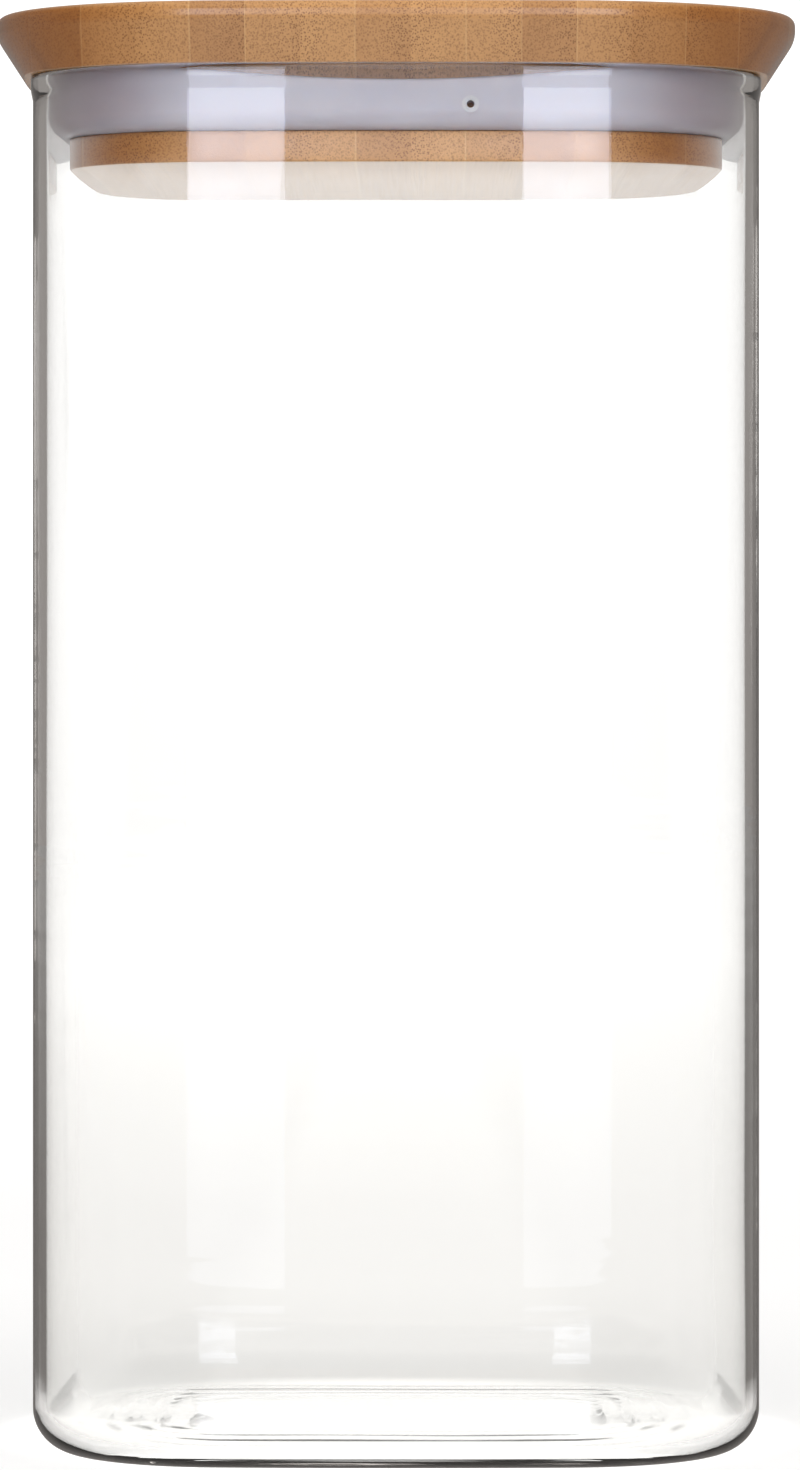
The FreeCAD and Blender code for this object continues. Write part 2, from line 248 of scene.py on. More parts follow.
# Draw lines: faint level waves left from shaping the hot glass.
draw_scale = nodes.new("ShaderNodeMapping")
draw_scale.inputs["Scale"].default_value = (7, 7, 190)
links.new(where.outputs["Object"], draw_scale.inputs["Vector"])
draw_lines = nodes.new("ShaderNodeTexNoise")
draw_lines.inputs["Scale"].default_value = 1.0
draw_lines.inputs["Detail"].default_value = 2.0
links.new(draw_scale.outputs["Vector"], draw_lines.inputs["Vector"])
waves = nodes.new("ShaderNodeBump")
waves.inputs["Strength"].default_value = 0.12
waves.inputs["Distance"].default_value = 0.0002
links.new(draw_lines.outputs["Fac"], waves.inputs["Height"])
links.new(waves.outputs["Normal"], glass.inputs["Normal"])
# Lamps shine through the glass, so that what is behind it is lit.
rays = nodes.new("ShaderNodeLightPath")
through = nodes.new("ShaderNodeBsdfTransparent")
through.inputs["Color"].default_value = (0.95, 0.96, 0.95, 1)
lamp_mix = nodes.new("ShaderNodeMixShader")
links.new(rays.outputs["Is Shadow Ray"], lamp_mix.inputs["Fac"])
links.new(glass.outputs["BSDF"], lamp_mix.inputs[1])
links.new(through.outputs["BSDF"], lamp_mix.inputs[2])
links.new(lamp_mix.outputs["Shader"], nodes["Material Output"].inputs["Surface"])
jar_data.materials.append(clear_glass)

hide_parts("glass_jar")
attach(blown_jar, "jar")


# ------------------------------------------------------------------ bamboo lid
# The lid is one block of bamboo strips glued side by side, fibres running front to back. It is
# milled into a flared board with a plug below, grooved for the seal, then sanded and lacquered.

first_low, first_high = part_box("lid_strip_01")
strip_count = 15
last_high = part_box(f"lid_strip_{strip_count}")[1]
strip_width = (last_high[0] - first_low[0]) / strip_count
seam_shift = 1.6 * MM
lid_top = first_high[2]
board_foot = first_low[2]
plug_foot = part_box("lid_strip_08")[0][2]
lid_out = 4.9 * MM
lid_foot_out = 1.2 * MM
bevel_height = 5.7 * MM
plug_in = -5.0 * MM
groove_in = -6.8 * MM
flange_top = plug_foot + 4.2 * MM
groove_top = flange_top + 6.0 * MM

lid_profile = []
# Plug underside and flange, its edges barely broken.
lid_profile.append((plug_in - 0.3 * MM, plug_foot))
bend(lid_profile, (plug_in - 0.3 * MM, plug_foot + 0.3 * MM), 0.3 * MM, 270, 360, 4)
bend(lid_profile, (plug_in - 0.2 * MM, flange_top - 0.2 * MM), 0.2 * MM, 0, 90, 3)
# Groove and shoulder.
lid_profile.append((groove_in, flange_top))
lid_profile.append((groove_in, groove_top))
lid_profile.append((plug_in - 0.15 * MM, groove_top))
lid_profile.append((plug_in, groove_top + 0.15 * MM))
lid_profile.append((plug_in, board_foot))
# Underside of the board, the bevel, the soft waist and the rounded top edge.
lid_profile.append((lid_foot_out - 0.22 * MM, board_foot))
lid_profile.append((lid_foot_out - 0.03 * MM, board_foot + 0.05 * MM))
lid_profile.append((lid_foot_out + 0.12 * MM, board_foot + 0.2 * MM))
lean = math.degrees(math.atan((lid_out - lid_foot_out) / bevel_height))
waist_round = 1.6 * MM
waist_height = board_foot + bevel_height + waist_round * math.tan(math.radians(lean / 2))
bend(lid_profile, (lid_out - waist_round, waist_height), waist_round, -lean, 0, 6)
bend(lid_profile, (lid_out - 1.3 * MM, lid_top - 1.3 * MM), 1.3 * MM, 0, 90, 10)

lid_mesh = bmesh.new()
rings = [
    [lid_mesh.verts.new((x, y, height)) for x, y in plan_outline(out, 48, 44)]
    for out, height in lid_profile
]
for lower, upper in zip(rings, rings[1:]):
    for here in range(len(lower)):
        following = (here + 1) % len(lower)
        lid_mesh.faces.new((lower[here], lower[following], upper[following], upper[here]))
lid_mesh.faces.new(rings[0][::-1])
lid_mesh.faces.new(rings[-1])
lid_mesh.normal_update()
lid_block = bpy.data.meshes.new("lid_block")
lid_mesh.to_mesh(lid_block)
lid_mesh.free()

bamboo = bpy.data.materials.new("laminated_bamboo")
bamboo.use_nodes = True
nodes = bamboo.node_tree.nodes
links = bamboo.node_tree.links
wood = nodes["Principled BSDF"]


def attribute(name):
    """A node that reads one of the strips' own values."""
    node = nodes.new("ShaderNodeAttribute")
    node.attribute_name = name
    return node


def sum_up(operation, first, second=None, third=None):
    """A Math node; each of its inputs is a socket or a number."""
    node = nodes.new("ShaderNodeMath")
    node.operation = operation
    for slot, given in enumerate((first, second, third)):
        if isinstance(given, (int, float)):
            node.inputs[slot].default_value = given
        elif given is not None:
            links.new(given, node.inputs[slot])
    return node.outputs[0]


def ramp(value, low, high, to_low=0.0, to_high=1.0, smooth=False):
    """A Map Range node, clamped at both ends."""
    node = nodes.new("ShaderNodeMapRange")
    node.interpolation_type = "SMOOTHSTEP" if smooth else "LINEAR"
    links.new(value, node.inputs["Value"])
    for name, given in zip(
        ("From Min", "From Max", "To Min", "To Max"), (low, high, to_low, to_high)
    ):
        node.inputs[name].default_value = given
    return node.outputs["Result"]


def blend_colour(factor, first, second, mode="MIX"):
    """A colour Mix node; each of its colours is a socket or a linear RGB triple."""
    node = nodes.new("ShaderNodeMix")
    node.data_type = "RGBA"
    node.blend_type = mode
    if isinstance(factor, (int, float)):
        node.inputs["Factor"].default_value = factor
    else:
        links.new(factor, node.inputs["Factor"])
    for name, given in (("A", first), ("B", second)):
        if isinstance(given, tuple):
            node.inputs[name].default_value = (*given, 1)
        else:
            links.new(given, node.inputs[name])
    return node.outputs["Result"]


where = nodes.new("ShaderNodeTexCoord")
tone = attribute("strip_tone_and_shade").outputs["Fac"]
across = attribute("strip_across").outputs["Fac"]
knot = attribute("strip_knot").outputs["Fac"]
shifted = nodes.new("ShaderNodeVectorMath")
shifted.operation = "ADD"
links.new(where.outputs["Object"], shifted.inputs[0])
links.new(attribute("strip_shift").outputs["Vector"], shifted.inputs[1])


def stretched(scale, texture="ShaderNodeTexNoise", **settings):
    """A texture in the wood, stretched by a scale per metre along X, Y and Z."""
    mapping = nodes.new("ShaderNodeMapping")
    mapping.inputs["Scale"].default_value = scale
    links.new(shifted.outputs[0], mapping.inputs["Vector"])
    node = nodes.new(texture)
    node.inputs["Scale"].default_value = 1.0
    for name, given in settings.items():
        node.inputs[name].default_value = given
    links.new(mapping.outputs["Vector"], node.inputs["Vector"])
    return node


# Vessels: bundles of dark fibre along Y, crowded and small towards one face of each strip.
small_vessels = stretched((3500, 26, 3200), "ShaderNodeTexVoronoi", Randomness=1.0)
large_vessels = stretched((2100, 16, 1900), "ShaderNodeTexVoronoi", Randomness=0.95)
crowding = ramp(across, 0.15, 0.95, 0.0, 1.0, smooth=True)
small_soft = sum_up(
    "SUBTRACT", 1.0, ramp(small_vessels.outputs["Distance"], 0.12, 0.58, smooth=True)
)
large_soft = sum_up(
    "SUBTRACT", 1.0, ramp(large_vessels.outputs["Distance"], 0.12, 0.46, smooth=True)
)
few = sum_up("SUBTRACT", 1.0, crowding)
small_share = sum_up("MULTIPLY", small_soft, sum_up("MULTIPLY_ADD", crowding, 0.50, 0.44))
large_share = sum_up("MULTIPLY", large_soft, sum_up("MULTIPLY_ADD", few, 0.40, 0.20))
facing = nodes.new("ShaderNodeSeparateXYZ")
links.new(where.outputs["Normal"], facing.inputs[0])
end_grain = ramp(sum_up("ABSOLUTE", facing.outputs["Y"]), 0.25, 0.85, smooth=True)
vessels = sum_up(
    "MULTIPLY",
    sum_up("MAXIMUM", small_share, large_share),
    sum_up("MULTIPLY_ADD", end_grain, 0.72, 0.28),
)

# Ground tissue: pale, with fine fibre streaks and slow cloudy change.
fibres = stretched((3600, 34, 3600), Detail=4.0, Roughness=0.6)
clouds = stretched((120, 22, 90), Detail=3.0, Roughness=0.55)
ground_tone = sum_up(
    "ADD",
    sum_up("MULTIPLY", tone, 0.62),
    sum_up(
        "ADD",
        sum_up("MULTIPLY", ramp(fibres.outputs["Fac"], 0.3, 0.7), 0.2),
        sum_up("MULTIPLY", ramp(clouds.outputs["Fac"], 0.3, 0.7), 0.22),
    ),
)
ground = blend_colour(ground_tone, (0.370, 0.160, 0.045), (0.640, 0.345, 0.125))
with_vessels = blend_colour(vessels, ground, (0.215, 0.085, 0.024))

# Knots: the strip's joints show as slightly darker bands across the fibres.
split = nodes.new("ShaderNodeSeparateXYZ")
links.new(where.outputs["Object"], split.inputs[0])
knot_wave = stretched((420, 0, 180), Detail=2.0)
knot_reach = sum_up(
    "ABSOLUTE",
    sum_up(
        "ADD",
        sum_up("SUBTRACT", split.outputs["Y"], knot),
        sum_up("MULTIPLY", sum_up("SUBTRACT", knot_wave.outputs["Fac"], 0.5), 0.0022),
    ),
)
knot_band = sum_up("SUBTRACT", 1.0, ramp(knot_reach, 0.0003, 0.0016, smooth=True))
with_knots = blend_colour(
    sum_up("MULTIPLY", knot_band, 0.28), with_vessels, (0.245, 0.115, 0.042)
)

# Glue seams: the soft inner face of a strip shows as a hair-fine paler line, not always as strong.
from_seam = sum_up("SUBTRACT", 0.5, sum_up("ABSOLUTE", sum_up("SUBTRACT", across, 0.5)))
seam_line = sum_up("SUBTRACT", 1.0, ramp(from_seam, 0.004, 0.028, smooth=True))
seam_strength = ramp(clouds.outputs["Fac"], 0.35, 0.65, 0.15, 0.5)
pale_face = sum_up("MULTIPLY", seam_line, sum_up("LESS_THAN", across, 0.5))
with_seams = blend_colour(
    sum_up("MULTIPLY", pale_face, seam_strength), with_knots, (0.74, 0.48, 0.22)
)

# Cut ends are drawn a shade browner than the long faces, partly as end grain shows and partly as painted
# shade below the brighter top; the faces turned aside are darker still, painted shade where the light
# falls off to the sides.
end_grain_and_shade_colour = blend_colour(
    sum_up("MULTIPLY", end_grain, 0.6), with_seams, (0.90, 0.84, 0.74), "MULTIPLY"
)
painted_flank_shade = ramp(sum_up("ABSOLUTE", facing.outputs["X"]), 0.15, 0.70, smooth=True)
wood_colour = blend_colour(painted_flank_shade, end_grain_and_shade_colour, (0.74, 0.59, 0.47), "MULTIPLY")
# The foot of the plug is painted paler than the lacquered faces: painted light, standing in for the
# strong light thrown up at it from the table below.
painted_underlight = sum_up(
    "MULTIPLY",
    ramp(facing.outputs["Z"], -0.95, -0.7, 0.35, 0.0),
    ramp(split.outputs["Z"], plug_foot + 0.2 * MM, plug_foot + 0.6 * MM, 1.0, 0.0),
)
wood_colour = blend_colour(painted_underlight, wood_colour, (0.93, 0.83, 0.72))
links.new(wood_colour, wood.inputs["Base Color"])
wood_roughness = sum_up(
    "MULTIPLY_ADD", ramp(fibres.outputs["Fac"], 0.3, 0.7), 0.10, sum_up(
        "MULTIPLY_ADD", vessels, 0.12, 0.40
    )
)
links.new(wood_roughness, wood.inputs["Roughness"])
grain_height = sum_up(
    "SUBTRACT",
    sum_up("MULTIPLY", fibres.outputs["Fac"], 0.5),
    sum_up("ADD", sum_up("MULTIPLY", vessels, 0.6), sum_up("MULTIPLY", seam_line, 0.6)),
)
grain = nodes.new("ShaderNodeBump")
grain.inputs["Strength"].default_value = 0.25
grain.inputs["Distance"].default_value = 0.00012
links.new(grain_height, grain.inputs["Height"])
links.new(grain.outputs["Normal"], wood.inputs["Normal"])
wood.inputs["IOR"].default_value = 1.5
wood.inputs["Coat Weight"].default_value = 0.85
wood.inputs["Coat Roughness"].default_value = 0.22

strip_draw = random.Random(11)
for number in range(1, strip_count + 1):
    left = first_low[0] + (number - 1) * strip_width - seam_shift
    strip = bmesh.new()
    strip.from_mesh(lid_block)
    for cut, outwards in ((left, -1), (left + strip_width, 1)):
        at_left = number == 1 and outwards < 0
        edge_of_lid = at_left or (number == strip_count and outwards > 0)
        if edge_of_lid:
            continue
        whole = strip.verts[:] + strip.edges[:] + strip.faces[:]
        found = bmesh.ops.bisect_plane(
            strip,
            geom=whole,
            dist=1e-7,
            plane_co=(cut, 0, 0),
            plane_no=(outwards, 0, 0),
            clear_outer=True,
        )
        rim = [e for e in found["geom_cut"] if isinstance(e, bmesh.types.BMEdge)]
        bmesh.ops.edgenet_fill(strip, edges=rim)
    bmesh.ops.remove_doubles(strip, verts=strip.verts, dist=1e-7)
    bmesh.ops.recalc_face_normals(strip, faces=strip.faces)
    bmesh.ops.triangulate(strip, faces=[f for f in strip.faces if len(f.verts) > 4])
    for face in strip.faces:
        face.smooth = True
    for edge in strip.edges:
        if len(edge.link_faces) == 2 and edge.calc_face_angle(0) > math.radians(28):
            edge.smooth = False
    strip_data = bpy.data.meshes.new(f"bamboo_strip_{number:02d}")
    strip.to_mesh(strip_data)
    strip.free()
    # Each strip carries its own tone, place in the figure, side and knot for the material.
    # Painted shade: the first strips at the left end get a darker tone, where the lid's left corner
    # turns from the light.
    strip_tone_and_shade = strip_draw.uniform(0.15, 0.95) * min(1.0, 0.30 + 0.14 * number)
    strip_shift = [strip_draw.uniform(-2, 2) for _ in range(3)]
    turned = strip_draw.random() < 0.5
    knot_at = strip_draw.uniform(-0.045, 0.045) if strip_draw.random() < 0.4 else 9.0
    count = len(strip_data.vertices)
    strip_data.attributes.new("strip_tone_and_shade", "FLOAT", "POINT").data.foreach_set(
        "value", [strip_tone_and_shade] * count
    )
    strip_data.attributes.new("strip_knot", "FLOAT", "POINT").data.foreach_set(
        "value", [knot_at] * count
    )
    strip_data.attributes.new("strip_shift", "FLOAT_VECTOR", "POINT").data.foreach_set(
        "vector", strip_shift * count
    )
    places = [(v.co.x - left) / strip_width for v in strip_data.vertices]
    strip_data.attributes.new("strip_across", "FLOAT", "POINT").data.foreach_set(
        "value", [1 - p if turned else p for p in places]
    )
    strip_data.materials.append(bamboo)
    bamboo_strip = bpy.data.objects.new(f"bamboo_strip_{number:02d}", strip_data)
    bpy.context.collection.objects.link(bamboo_strip)
    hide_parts(f"lid_strip_{number:02d}")
    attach(bamboo_strip, "lid")
bpy.data.meshes.remove(lid_block)


# ------------------------------------------------------------------ seal ring
# The seal is one moulding of milky silicone, stretched into the plug's groove. Its body bulges
# out to the glass and carries a thin turned-up lip, which sags a little between the corners.

seal_foot = flange_top + 0.05 * MM
seal_out = -2.1 * MM
lip_in = -3.0 * MM
lip_top = board_foot - 0.3 * MM
tongue_top = groove_top - 0.05 * MM
seal_root = flange_top + 4.4 * MM
bulge = 2.85 * MM
front_of_seal = -jar_half_width - seal_out
vent_side = 10 * MM
vent_height = flange_top + 3.3 * MM

# Section of the ring, once round, as (move out, height): foot, bulge, lip, channel, tongue.
seal_section = []
bend(seal_section, (seal_out - bulge, seal_foot + bulge), bulge, 270, 360, 16)
for share in (0.2, 0.4, 0.6, 0.8):
    seal_section.append((seal_out, seal_foot + bulge + (lip_top - 0.4 * MM - seal_foot - bulge) * share))
bend(seal_section, (seal_out - 0.42 * MM, lip_top - 0.42 * MM), 0.42 * MM, 0, 90, 6)
bend(seal_section, (lip_in + 0.42 * MM, lip_top - 0.42 * MM), 0.42 * MM, 90, 180, 6)
for share in (0.25, 0.5, 0.75):
    seal_section.append((lip_in, lip_top - 0.42 * MM + (seal_root + 0.5 * MM - lip_top) * share))
on_lip = len(seal_section)
bend(seal_section, (lip_in - 0.5 * MM, seal_root + 0.5 * MM), 0.5 * MM, 360, 270, 5)
seal_section.append((-4.9 * MM, seal_root))
seal_section.append((-4.99 * MM, seal_root + 0.1 * MM))
seal_section.append((-4.99 * MM, tongue_top - 0.2 * MM))
bend(seal_section, (-5.2 * MM, tongue_top - 0.2 * MM), 0.2 * MM, 0, 90, 3)
seal_section.append((groove_in + 0.3 * MM, tongue_top))
seal_section.append((groove_in + 0.3 * MM, seal_foot))


def closed_line(name, points):
    """An object whose mesh is one closed line through the points."""
    data = bpy.data.meshes.new(name)
    edges = [(here, (here + 1) % len(points)) for here in range(len(points))]
    data.from_pydata(points, edges, [])
    made = bpy.data.objects.new(name, data)
    bpy.context.collection.objects.link(made)
    return made


# The node tree sweeps a section with its height along -Y.
section_line = closed_line("seal_section", [(out, -height, 0) for out, height in seal_section])
section_line.data.attributes.new("on_lip", "FLOAT", "POINT").data.foreach_set(
    "value", [1.0 if place < on_lip else 0.0 for place in range(len(seal_section))]
)
seal_path = closed_line("seal_path", [(x, y, 0) for x, y in plan_outline(0, 60, 44)])

silicone = bpy.data.materials.new("milky_silicone")
silicone.use_nodes = True
nodes = silicone.node_tree.nodes
links = silicone.node_tree.links
rubber = nodes["Principled BSDF"]
rubber.inputs["IOR"].default_value = 1.41
rubber.inputs["Transmission Weight"].default_value = 0.48
rubber.inputs["Subsurface Weight"].default_value = 0.6
rubber.inputs["Subsurface Radius"].default_value = (1.0, 0.85, 0.75)
rubber.inputs["Subsurface Scale"].default_value = 0.0022
where = nodes.new("ShaderNodeTexCoord")
cloud = nodes.new("ShaderNodeTexNoise")
cloud.inputs["Scale"].default_value = 160
cloud.inputs["Detail"].default_value = 3
links.new(where.outputs["Object"], cloud.inputs["Vector"])
milk = blend_colour(
    ramp(cloud.outputs["Fac"], 0.3, 0.7), (0.750, 0.725, 0.800), (0.840, 0.815, 0.880)
)
# Round the pinhole the moulding is thicker and looks whiter.
from_pinhole = nodes.new("ShaderNodeVectorMath")
from_pinhole.operation = "DISTANCE"
links.new(where.outputs["Object"], from_pinhole.inputs[0])
from_pinhole.inputs[1].default_value = (vent_side, front_of_seal, vent_height)
boss_white = ramp(from_pinhole.outputs["Value"], 0.95 * MM, 1.35 * MM, 0.8, 0.0, smooth=True)
milk = blend_colour(boss_white, milk, (0.97, 0.96, 0.97))
# Where it turns away to the sides it is drawn darker and warmer: painted shade, with a warm cast
# standing in for the wood behind showing through.
turned = nodes.new("ShaderNodeSeparateXYZ")
links.new(where.outputs["Normal"], turned.inputs[0])
painted_seal_side_shade = ramp(sum_up("ABSOLUTE", turned.outputs["X"]), 0.15, 0.75, smooth=True)
milk = blend_colour(painted_seal_side_shade, milk, (0.80, 0.72, 0.70), "MULTIPLY")
links.new(milk, rubber.inputs["Base Color"])
links.new(ramp(cloud.outputs["Fac"], 0.3, 0.7, 0.34, 0.46), rubber.inputs["Roughness"])
skin = nodes.new("ShaderNodeTexNoise")
skin.inputs["Scale"].default_value = 2600
skin.inputs["Detail"].default_value = 2
links.new(where.outputs["Object"], skin.inputs["Vector"])
matte = nodes.new("ShaderNodeBump")
matte.inputs["Strength"].default_value = 0.12
matte.inputs["Distance"].default_value = 0.00005
links.new(skin.outputs["Fac"], matte.inputs["Height"])
links.new(matte.outputs["Normal"], rubber.inputs["Normal"])


# The tree: the section follows the rounded square, the lip sags between the corners, and the
# pinhole is bored through a low boss on the front.
sweep_tree = bpy.data.node_groups.new("seal_sweep", "GeometryNodeTree")
sockets = {}
for label, kind in (
    ("Path", "NodeSocketGeometry"),
    ("Section", "NodeSocketObject"),
    ("Silicone", "NodeSocketMaterial"),
    ("Sag", "NodeSocketFloat"),
    ("Sag Length", "NodeSocketFloat"),
    ("Sag From", "NodeSocketFloat"),
    ("Lip Top", "NodeSocketFloat"),
    ("Unevenness", "NodeSocketFloat"),
    ("Pinhole Bore", "NodeSocketFloat"),
    ("Boss Radius", "NodeSocketFloat"),
    ("Boss Place", "NodeSocketVector"),
    ("Pinhole Place", "NodeSocketVector"),
):
    made = sweep_tree.interface.new_socket(label, in_out="INPUT", socket_type=kind)
    sockets[label] = made.identifier
sweep_tree.interface.new_socket("Seal", in_out="OUTPUT", socket_type="NodeSocketGeometry")
nodes = sweep_tree.nodes
links = sweep_tree.links
given = nodes.new("NodeGroupInput")
path_curve = nodes.new("GeometryNodeMeshToCurve")
links.new(given.outputs["Path"], path_curve.inputs["Mesh"])
upright = nodes.new("GeometryNodeSetCurveNormal")
upright.mode = "Z_UP"
links.new(path_curve.outputs["Curve"], upright.inputs["Curve"])
section_info = nodes.new("GeometryNodeObjectInfo")
links.new(given.outputs["Section"], section_info.inputs["Object"])
section_curve = nodes.new("GeometryNodeMeshToCurve")
links.new(section_info.outputs["Geometry"], section_curve.inputs["Mesh"])
swept = nodes.new("GeometryNodeCurveToMesh")
links.new(upright.outputs["Curve"], swept.inputs["Curve"])
links.new(section_curve.outputs["Curve"], swept.inputs["Profile Curve"])
at = nodes.new("GeometryNodeInputPosition").outputs["Position"]
parts_of_at = nodes.new("ShaderNodeSeparateXYZ")
links.new(at, parts_of_at.inputs[0])
nearer_middle = sum_up(
    "MINIMUM",
    sum_up("ABSOLUTE", parts_of_at.outputs["X"]),
    sum_up("ABSOLUTE", parts_of_at.outputs["Y"]),
)
reach = sum_up("DIVIDE", sum_up("MULTIPLY", nearer_middle, 2.0), given.outputs["Sag Length"])
dip = sum_up(
    "POWER", sum_up("MAXIMUM", sum_up("SUBTRACT", 1.0, sum_up("MULTIPLY", reach, reach)), 0.0), 1.2
)
lip_height = sum_up(
    "DIVIDE",
    sum_up("SUBTRACT", parts_of_at.outputs["Z"], given.outputs["Sag From"]),
    sum_up("SUBTRACT", given.outputs["Lip Top"], given.outputs["Sag From"]),
)
lip_attribute = nodes.new("GeometryNodeInputNamedAttribute")
lip_attribute.data_type = "FLOAT"
lip_attribute.inputs["Name"].default_value = "on_lip"
lip_share = sum_up(
    "MULTIPLY", sum_up("MAXIMUM", lip_height, 0.0), lip_attribute.outputs["Attribute"]
)
rough_edge = nodes.new("ShaderNodeTexNoise")
rough_edge.inputs["Scale"].default_value = 28
links.new(at, rough_edge.inputs["Vector"])
lower_by = sum_up(
    "MULTIPLY",
    lip_share,
    sum_up(
        "ADD",
        sum_up("MULTIPLY", dip, given.outputs["Sag"]),
        sum_up("MULTIPLY", rough_edge.outputs["Fac"], given.outputs["Unevenness"]),
    ),
)
lowered = nodes.new("ShaderNodeCombineXYZ")
links.new(sum_up("MULTIPLY", lower_by, -1.0), lowered.inputs["Z"])
sagging = nodes.new("GeometryNodeSetPosition")
links.new(swept.outputs["Mesh"], sagging.inputs["Geometry"])
links.new(lowered.outputs["Vector"], sagging.inputs["Offset"])
before = sagging.outputs["Geometry"]
for label, radius, depth, operation in (
    ("Boss Place", given.outputs["Boss Radius"], 0.9 * MM, "UNION"),
    ("Pinhole Place", sum_up("MULTIPLY", given.outputs["Pinhole Bore"], 0.5), 8.0 * MM, "DIFFERENCE"),
):
    pin = nodes.new("GeometryNodeMeshCylinder")
    pin.inputs["Vertices"].default_value = 32
    pin.inputs["Depth"].default_value = depth
    links.new(radius, pin.inputs["Radius"])
    lay = nodes.new("GeometryNodeTransform")
    lay.inputs["Rotation"].default_value = (math.pi / 2, 0, 0)
    links.new(pin.outputs["Mesh"], lay.inputs["Geometry"])
    links.new(given.outputs[label], lay.inputs["Translation"])
    cut = nodes.new("GeometryNodeMeshBoolean")
    cut.operation = operation
    cut.solver = "EXACT"
    if operation == "DIFFERENCE":
        links.new(before, cut.inputs["Mesh 1"])
    else:
        links.new(before, cut.inputs["Mesh 2"])
    links.new(lay.outputs["Geometry"], cut.inputs["Mesh 2"])
    before = cut.outputs["Mesh"]
real = nodes.new("GeometryNodeRealizeInstances")
links.new(before, real.inputs["Geometry"])
dressed = nodes.new("GeometryNodeSetMaterial")
links.new(real.outputs["Geometry"], dressed.inputs["Geometry"])
links.new(given.outputs["Silicone"], dressed.inputs["Material"])
links.new(dressed.outputs["Geometry"], nodes.new("NodeGroupOutput").inputs["Seal"])

sweeping = seal_path.modifiers.new("sweep", "NODES")
sweeping.node_group = sweep_tree
for label, size in (
    ("Section", section_line),
    ("Silicone", silicone),
    ("Sag", 1.5 * MM),
    ("Sag Length", 62 * MM),
    ("Sag From", seal_foot + bulge),
    ("Lip Top", lip_top),
    ("Unevenness", 0.16 * MM),
    ("Pinhole Bore", 1.0 * MM),
    ("Boss Radius", 1.15 * MM),
    ("Boss Place", (vent_side, front_of_seal + 0.42 * MM, vent_height)),
    ("Pinhole Place", (vent_side, front_of_seal + 3 * MM, vent_height)),
):
    sweeping[sockets[label]] = size
bpy.context.view_layer.update()
swept_seal = seal_path.evaluated_get(bpy.context.evaluated_depsgraph_get())
seal_data = bpy.data.meshes.new_from_object(swept_seal)
seal_data.name = "silicone_seal"
seal_path.modifiers.remove(sweeping)
for helper in (seal_path, section_line):
    line_data = helper.data
    bpy.data.objects.remove(helper)
    bpy.data.meshes.remove(line_data)
seal_mesh = bmesh.new()
seal_mesh.from_mesh(seal_data)
bmesh.ops.remove_doubles(seal_mesh, verts=seal_mesh.verts, dist=1e-7)
bmesh.ops.recalc_face_normals(seal_mesh, faces=seal_mesh.faces)
bmesh.ops.triangulate(seal_mesh, faces=[f for f in seal_mesh.faces if len(f.verts) > 4])
for face in seal_mesh.faces:
    face.smooth = True
for edge in seal_mesh.edges:
    if edge.is_manifold and edge.calc_face_angle(0) > math.radians(50):
        edge.smooth = False
seal_mesh.to_mesh(seal_data)
seal_mesh.free()
silicone_seal = bpy.data.objects.new("silicone_seal", seal_data)
bpy.context.collection.objects.link(silicone_seal)

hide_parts("seal_ring")
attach(silicone_seal, "lid")


# ------------------------------------------------------------------ table, light and camera
# A pale table runs out of sight in a pale room. Two tall soft strips stand behind the camera and
# show as upright reflections; what the glass mirrors of the room is kept dark, to draw its edges.

table_mesh = bmesh.new()
table_reach = 2.5
steps = 12
grid = [
    [
        table_mesh.verts.new(
            (
                -table_reach + 2 * table_reach * column / steps,
                -table_reach + 2 * table_reach * row / steps,
                -0.05 * MM,
            )
        )
        for column in range(steps + 1)
    ]
    for row in range(steps + 1)
]
for row in range(steps):
    for column in range(steps):
        table_mesh.faces.new(
            (
                grid[row][column],
                grid[row][column + 1],
                grid[row + 1][column + 1],
                grid[row + 1][column],
            )
        )
table_data = bpy.data.meshes.new("pale_table")
table_mesh.to_mesh(table_data)
table_mesh.free()
pale_table = bpy.data.objects.new("pale_table", table_data)
bpy.context.collection.objects.link(pale_table)
table_paint = bpy.data.materials.new("white_laminate")
table_paint.use_nodes = True
nodes = table_paint.node_tree.nodes
links = table_paint.node_tree.links
laminate = nodes["Principled BSDF"]
where = nodes.new("ShaderNodeTexCoord")
speckle = nodes.new("ShaderNodeTexNoise")
speckle.inputs["Scale"].default_value = 4
links.new(where.outputs["Object"], speckle.inputs["Vector"])
from_jar = nodes.new("ShaderNodeVectorMath")
from_jar.operation = "LENGTH"
links.new(where.outputs["Object"], from_jar.inputs[0])
place = nodes.new("ShaderNodeSeparateXYZ")
links.new(where.outputs["Object"], place.inputs[0])
aside = sum_up("ABSOLUTE", place.outputs["X"])
rays = nodes.new("ShaderNodeLightPath")
mirrored = sum_up(
    "MULTIPLY",
    sum_up(
        "MULTIPLY",
        sum_up("GREATER_THAN", rays.outputs["Glossy Depth"], 0.5),
        sum_up("LESS_THAN", rays.outputs["Transmission Depth"], 2.5),
    ),
    sum_up(
        "MULTIPLY",
        ramp(from_jar.outputs["Value"], 0.065, 0.12, smooth=True),
        ramp(aside, 0.040, 0.056),
    ),
)
links.new(
    blend_colour(
        mirrored,
        blend_colour(speckle.outputs["Fac"], (0.50, 0.49, 0.48), (0.53, 0.52, 0.51)),
        (0.10, 0.095, 0.09),
    ),
    laminate.inputs["Base Color"],
)
laminate.inputs["Roughness"].default_value = 0.7
laminate.inputs["Emission Color"].default_value = (1, 1, 1, 1)
# The table glows, brighter away from the jar until it cannot be told from the room, and brighter again
# under the jar itself: a painted pool of light, seen through the glass base.
laminate_glow = sum_up(
    "ADD",
    ramp(from_jar.outputs["Value"], 0.10, 1.4, 0.56, 0.95),
    ramp(from_jar.outputs["Value"], 0.045, 0.060, 0.44, 0.0, smooth=True),
)
